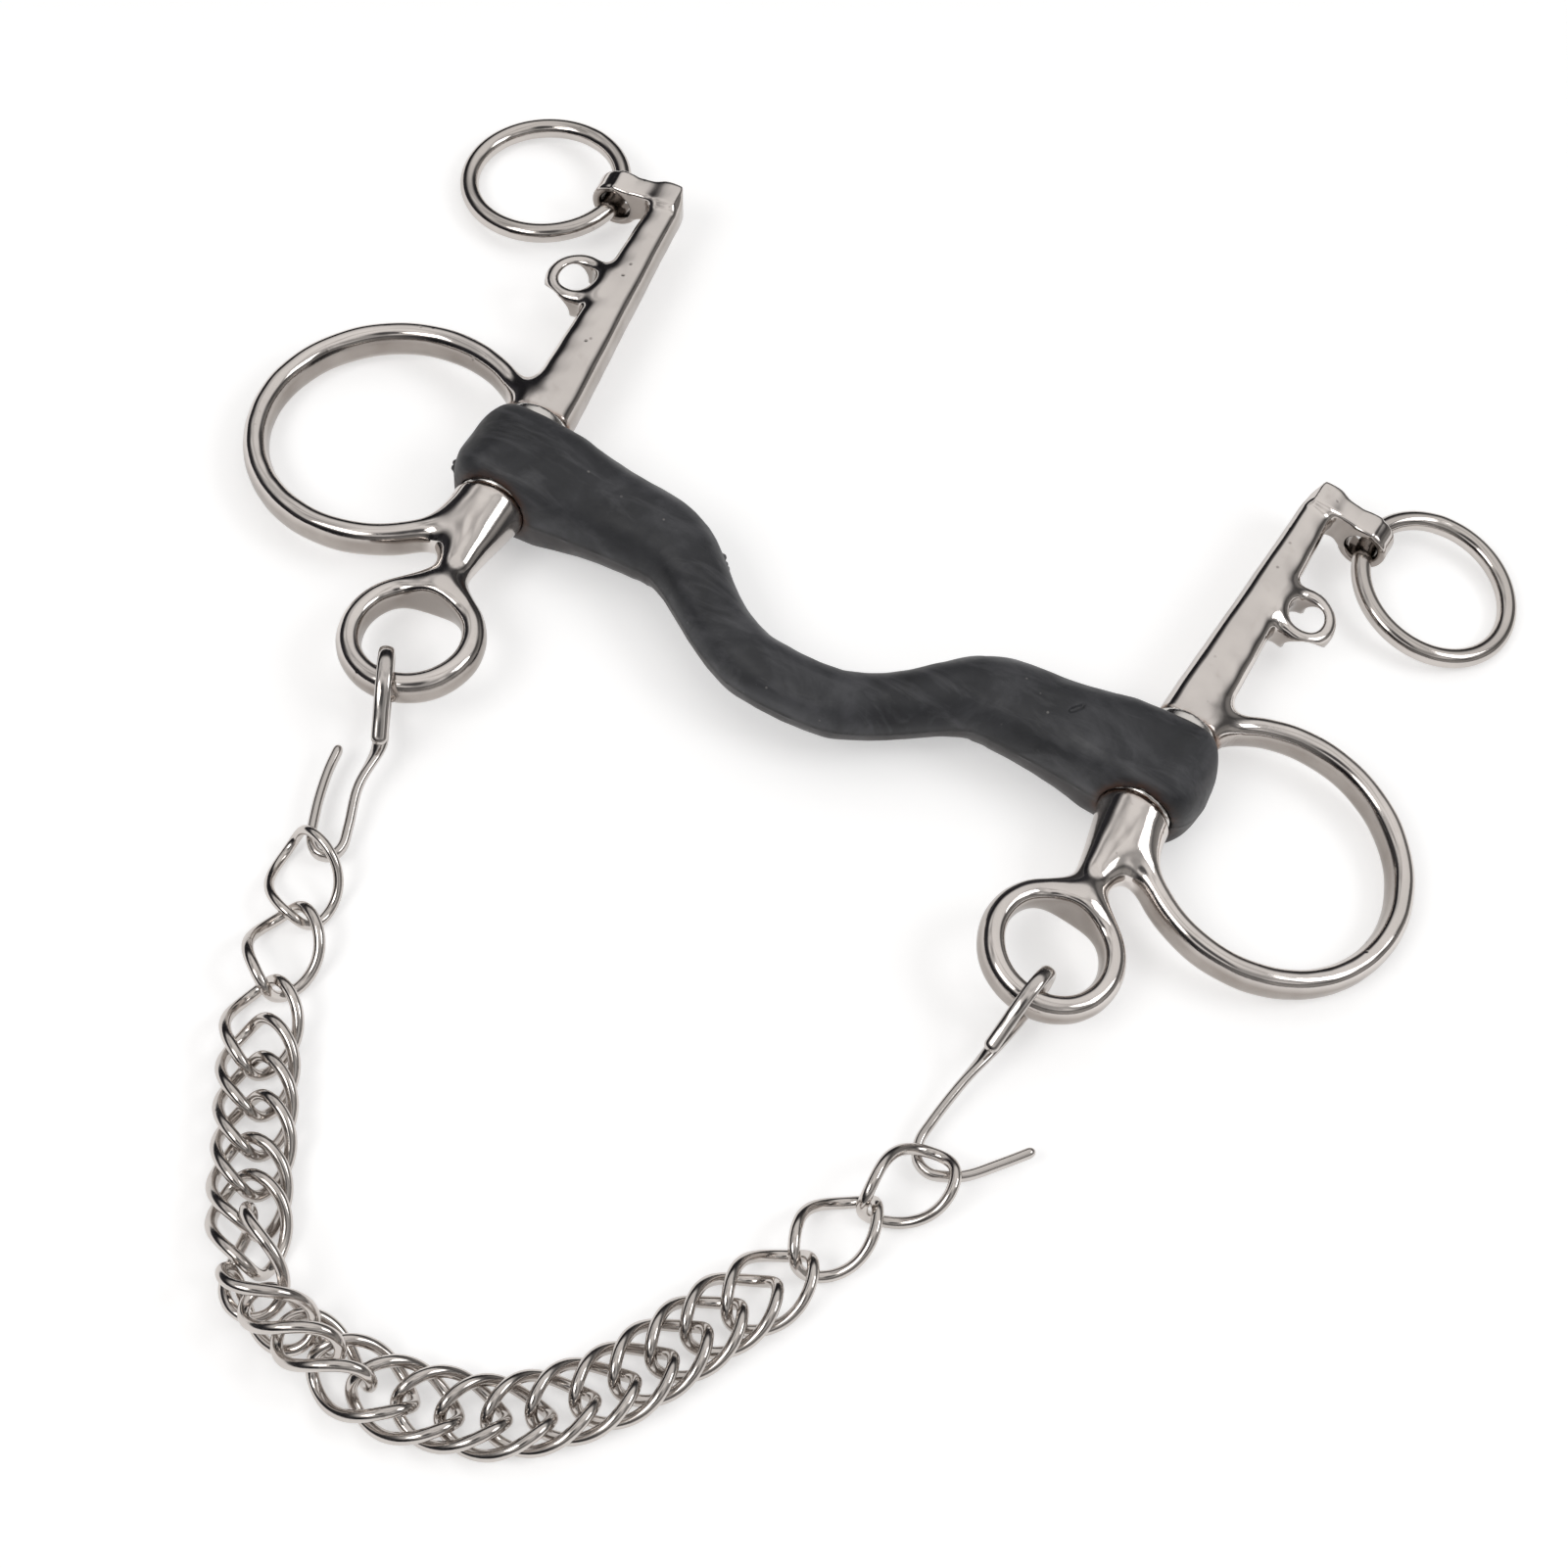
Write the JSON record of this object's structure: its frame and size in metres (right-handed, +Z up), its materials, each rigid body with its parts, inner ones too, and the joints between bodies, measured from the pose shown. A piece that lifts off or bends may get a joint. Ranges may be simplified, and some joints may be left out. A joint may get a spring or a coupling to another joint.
{
  "type": "curb bit",
  "caption": "Steel curb bit with a rubber-covered ported mouthpiece, swivelling ring cheeks, loose curb-rein rings and a double-link curb chain on two hooks.",
  "frame": {"origin": "on the surface the bit lies on, under the middle of its outline box", "axes": "+X along the mouthpiece, +Y from the curb chain towards the curb-rein rings, +Z up from the surface"},
  "size_m": [0.2436, 0.2704, 0.0208],
  "materials": {
    "black_rubber": "matte moulded rubber",
    "bar_steel": "satin, hidden inside the cover except at its ends",
    "cheek_steel": "polished stainless steel",
    "ring_steel": "polished stainless steel",
    "hook_steel": "polished stainless steel wire",
    "chain_steel": "polished stainless steel wire"
  },
  "bodies": {
    "mouthpiece": {"mouthpiece_rubber_cover": "black_rubber", "mouthpiece_steel_core": "bar_steel"},
    "left_cheek": {"left_cheek": "cheek_steel"},
    "right_cheek": {"right_cheek": "cheek_steel"},
    "left_rein_ring": {"left_curb_rein_ring": "ring_steel"},
    "right_rein_ring": {"right_curb_rein_ring": "ring_steel"},
    "left_hook": {"left_curb_hook": "hook_steel"},
    "right_hook": {"right_curb_hook": "hook_steel"},
    "link_01": {"chain_link_01": "chain_steel"},
    "link_02": {"chain_link_02": "chain_steel"},
    "link_03": {"chain_link_03": "chain_steel"},
    "link_04": {"chain_link_04": "chain_steel"},
    "link_05": {"chain_link_05": "chain_steel"},
    "link_06": {"chain_link_06": "chain_steel"},
    "link_07": {"chain_link_07": "chain_steel"},
    "link_08": {"chain_link_08": "chain_steel"},
    "link_09": {"chain_link_09": "chain_steel"},
    "link_10": {"chain_link_10": "chain_steel"},
    "link_11": {"chain_link_11": "chain_steel"},
    "link_12": {"chain_link_12": "chain_steel"},
    "link_13": {"chain_link_13": "chain_steel"},
    "link_14": {"chain_link_14": "chain_steel"},
    "link_15": {"chain_link_15": "chain_steel"},
    "link_16": {"chain_link_16": "chain_steel"},
    "link_17": {"chain_link_17": "chain_steel"},
    "link_18": {"chain_link_18": "chain_steel"},
    "link_19": {"chain_link_19": "chain_steel"},
    "link_20": {"chain_link_20": "chain_steel"},
    "link_21": {"chain_link_21": "chain_steel"},
    "link_22": {"chain_link_22": "chain_steel"},
    "link_23": {"chain_link_23": "chain_steel"},
    "link_24": {"chain_link_24": "chain_steel"},
    "link_25": {"chain_link_25": "chain_steel"}
  },
  "joints": [
    {"name": "left_cheek_swivel", "type": "hinge", "parent": "mouthpiece", "child": "left_cheek", "pos_m": [-0.0683, 0.04113, 0.0104], "axis": [-0.0767, 0.9971, 0], "range_deg": [-22, 30]},
    {"name": "left_rein_ring_swing", "type": "hinge", "parent": "left_cheek", "child": "left_rein_ring", "pos_m": [-0.08574, 0.11837, 0.00697], "axis": [-0.0767, 0.9971, 0], "range_deg": [-60, 140]},
    {"name": "right_cheek_swivel", "type": "hinge", "parent": "mouthpiece", "child": "right_cheek", "pos_m": [0.0683, 0.04113, 0.0104], "axis": [-0.0767, -0.9971, 0], "range_deg": [-22, 30]},
    {"name": "right_rein_ring_swing", "type": "hinge", "parent": "right_cheek", "child": "right_rein_ring", "pos_m": [0.08574, 0.11837, 0.00697], "axis": [-0.0767, -0.9971, 0], "range_deg": [-60, 140]},
    {"name": "curb_chain_swing", "type": "hinge", "parent": "mouthpiece", "child": "left_hook", "pos_m": [0, -0.01477, 0.01037], "axis": [-1, 0, 0], "range_deg": [-135, 160]},
    {"name": "right_hook_swing", "type": "hinge", "parent": "mouthpiece", "child": "right_hook", "pos_m": [0, -0.01477, 0.01037], "axis": [-1, 0, 0], "range_deg": [-135, 160]},
    {"name": "chain_flex", "type": "hinge", "parent": "left_hook", "child": "link_01", "pos_m": [-0.0583, -0.04727, 0.005], "axis": [0, 0, 1], "range_deg": [-8, 8]},
    {"name": "chain_flex_02", "type": "hinge", "parent": "left_hook", "child": "link_02", "pos_m": [-0.05846, -0.04645, 0.005], "axis": [0, 0, 1], "range_deg": [-7.55, 7.55]},
    {"name": "chain_flex_03", "type": "hinge", "parent": "left_hook", "child": "link_03", "pos_m": [-0.13814, 0.27081, 0.005], "axis": [0, 0, 1], "range_deg": [-0.63, 0.63]},
    {"name": "chain_flex_04", "type": "hinge", "parent": "left_hook", "child": "link_04", "pos_m": [0.00617, -0.29536, 0.005], "axis": [0, 0, 1], "range_deg": [-1.06, 1.06]},
    {"name": "chain_flex_05", "type": "hinge", "parent": "left_hook", "child": "link_05", "pos_m": [-0.01021, -0.22881, 0.005], "axis": [0, 0, 1], "range_deg": [-1.58, 1.58]},
    {"name": "chain_flex_06", "type": "hinge", "parent": "left_hook", "child": "link_06", "pos_m": [-0.00276, -0.26101, 0.005], "axis": [0, 0, 1], "range_deg": [-1.27, 1.27]},
    {"name": "chain_flex_07", "type": "hinge", "parent": "left_hook", "child": "link_07", "pos_m": [-0.01294, -0.21451, 0.005], "axis": [0, 0, 1], "range_deg": [-1.8, 1.8]},
    {"name": "chain_flex_08", "type": "hinge", "parent": "left_hook", "child": "link_08", "pos_m": [-0.00898, -0.23441, 0.005], "axis": [0, 0, 1], "range_deg": [-1.51, 1.51]},
    {"name": "chain_flex_09", "type": "hinge", "parent": "left_hook", "child": "link_09", "pos_m": [-0.0145, -0.20308, 0.005], "axis": [0, 0, 1], "range_deg": [-2.06, 2.06]},
    {"name": "chain_flex_10", "type": "hinge", "parent": "left_hook", "child": "link_10", "pos_m": [-0.01282, -0.21645, 0.005], "axis": [0, 0, 1], "range_deg": [-1.77, 1.77]},
    {"name": "chain_flex_11", "type": "hinge", "parent": "left_hook", "child": "link_11", "pos_m": [-0.01419, -0.19604, 0.005], "axis": [0, 0, 1], "range_deg": [-2.28, 2.28]},
    {"name": "chain_flex_12", "type": "hinge", "parent": "left_hook", "child": "link_12", "pos_m": [-0.01448, -0.2095, 0.005], "axis": [0, 0, 1], "range_deg": [-1.91, 1.91]},
    {"name": "chain_flex_13", "type": "hinge", "parent": "left_hook", "child": "link_13", "pos_m": [-0.01293, -0.19491, 0.005], "axis": [0, 0, 1], "range_deg": [-2.32, 2.32]},
    {"name": "chain_flex_14", "type": "hinge", "parent": "left_hook", "child": "link_14", "pos_m": [-0.01672, -0.21255, 0.005], "axis": [0, 0, 1], "range_deg": [-1.84, 1.84]},
    {"name": "chain_flex_15", "type": "hinge", "parent": "left_hook", "child": "link_15", "pos_m": [-0.01313, -0.20047, 0.005], "axis": [0, 0, 1], "range_deg": [-2.14, 2.14]},
    {"name": "chain_flex_16", "type": "hinge", "parent": "left_hook", "child": "link_16", "pos_m": [-0.02378, -0.22851, 0.005], "axis": [0, 0, 1], "range_deg": [-1.56, 1.56]},
    {"name": "chain_flex_17", "type": "hinge", "parent": "left_hook", "child": "link_17", "pos_m": [-0.01777, -0.21441, 0.005], "axis": [0, 0, 1], "range_deg": [-1.8, 1.8]},
    {"name": "chain_flex_18", "type": "hinge", "parent": "left_hook", "child": "link_18", "pos_m": [-0.04082, -0.26452, 0.005], "axis": [0, 0, 1], "range_deg": [-1.19, 1.19]},
    {"name": "chain_flex_19", "type": "hinge", "parent": "left_hook", "child": "link_19", "pos_m": [-0.02886, -0.23929, 0.005], "axis": [0, 0, 1], "range_deg": [-1.43, 1.43]},
    {"name": "chain_flex_20", "type": "hinge", "parent": "left_hook", "child": "link_20", "pos_m": [-0.07428, -0.33355, 0.005], "axis": [0, 0, 1], "range_deg": [-0.84, 0.84]},
    {"name": "chain_flex_21", "type": "hinge", "parent": "left_hook", "child": "link_21", "pos_m": [-0.0463, -0.27563, 0.005], "axis": [0, 0, 1], "range_deg": [-1.11, 1.11]},
    {"name": "chain_flex_22", "type": "hinge", "parent": "left_hook", "child": "link_22", "pos_m": [-0.12995, -0.44844, 0.005], "axis": [0, 0, 1], "range_deg": [-0.58, 0.58]},
    {"name": "chain_flex_23", "type": "hinge", "parent": "left_hook", "child": "link_23", "pos_m": [0.13561, 0.09907, 0.005], "axis": [0, 0, 1], "range_deg": [-1.13, 1.13]},
    {"name": "chain_flex_24", "type": "hinge", "parent": "left_hook", "child": "link_24", "pos_m": [0.06291, -0.05026, 0.005], "axis": [0, 0, 1], "range_deg": [-7.76, 7.76]},
    {"name": "chain_flex_25", "type": "hinge", "parent": "left_hook", "child": "link_25", "pos_m": [0.0633, -0.04947, 0.005], "axis": [0, 0, 1], "range_deg": [-7.27, 7.27]}
  ],
  "couplings": [
    {"joint": "right_hook_swing", "follows": "curb_chain_swing", "ratio": 1},
    {"joint": "chain_flex_02", "follows": "chain_flex", "ratio": 0.94227},
    {"joint": "chain_flex_03", "follows": "chain_flex", "ratio": 0.077591},
    {"joint": "chain_flex_04", "follows": "chain_flex", "ratio": -0.13182},
    {"joint": "chain_flex_05", "follows": "chain_flex", "ratio": -0.19601},
    {"joint": "chain_flex_06", "follows": "chain_flex", "ratio": -0.15718},
    {"joint": "chain_flex_07", "follows": "chain_flex", "ratio": -0.22393},
    {"joint": "chain_flex_08", "follows": "chain_flex", "ratio": -0.18776},
    {"joint": "chain_flex_09", "follows": "chain_flex", "ratio": -0.25616},
    {"joint": "chain_flex_10", "follows": "chain_flex", "ratio": -0.21954},
    {"joint": "chain_flex_11", "follows": "chain_flex", "ratio": -0.28342},
    {"joint": "chain_flex_12", "follows": "chain_flex", "ratio": -0.23728},
    {"joint": "chain_flex_13", "follows": "chain_flex", "ratio": -0.28895},
    {"joint": "chain_flex_14", "follows": "chain_flex", "ratio": -0.22861},
    {"joint": "chain_flex_15", "follows": "chain_flex", "ratio": -0.26608},
    {"joint": "chain_flex_16", "follows": "chain_flex", "ratio": -0.19435},
    {"joint": "chain_flex_17", "follows": "chain_flex", "ratio": -0.22373},
    {"joint": "chain_flex_18", "follows": "chain_flex", "ratio": -0.14803},
    {"joint": "chain_flex_19", "follows": "chain_flex", "ratio": -0.17715},
    {"joint": "chain_flex_20", "follows": "chain_flex", "ratio": -0.10408},
    {"joint": "chain_flex_21", "follows": "chain_flex", "ratio": -0.13814},
    {"joint": "chain_flex_22", "follows": "chain_flex", "ratio": -0.071123},
    {"joint": "chain_flex_23", "follows": "chain_flex", "ratio": 0.13957},
    {"joint": "chain_flex_24", "follows": "chain_flex", "ratio": 0.96924},
    {"joint": "chain_flex_25", "follows": "chain_flex", "ratio": 0.90735}
  ]
}
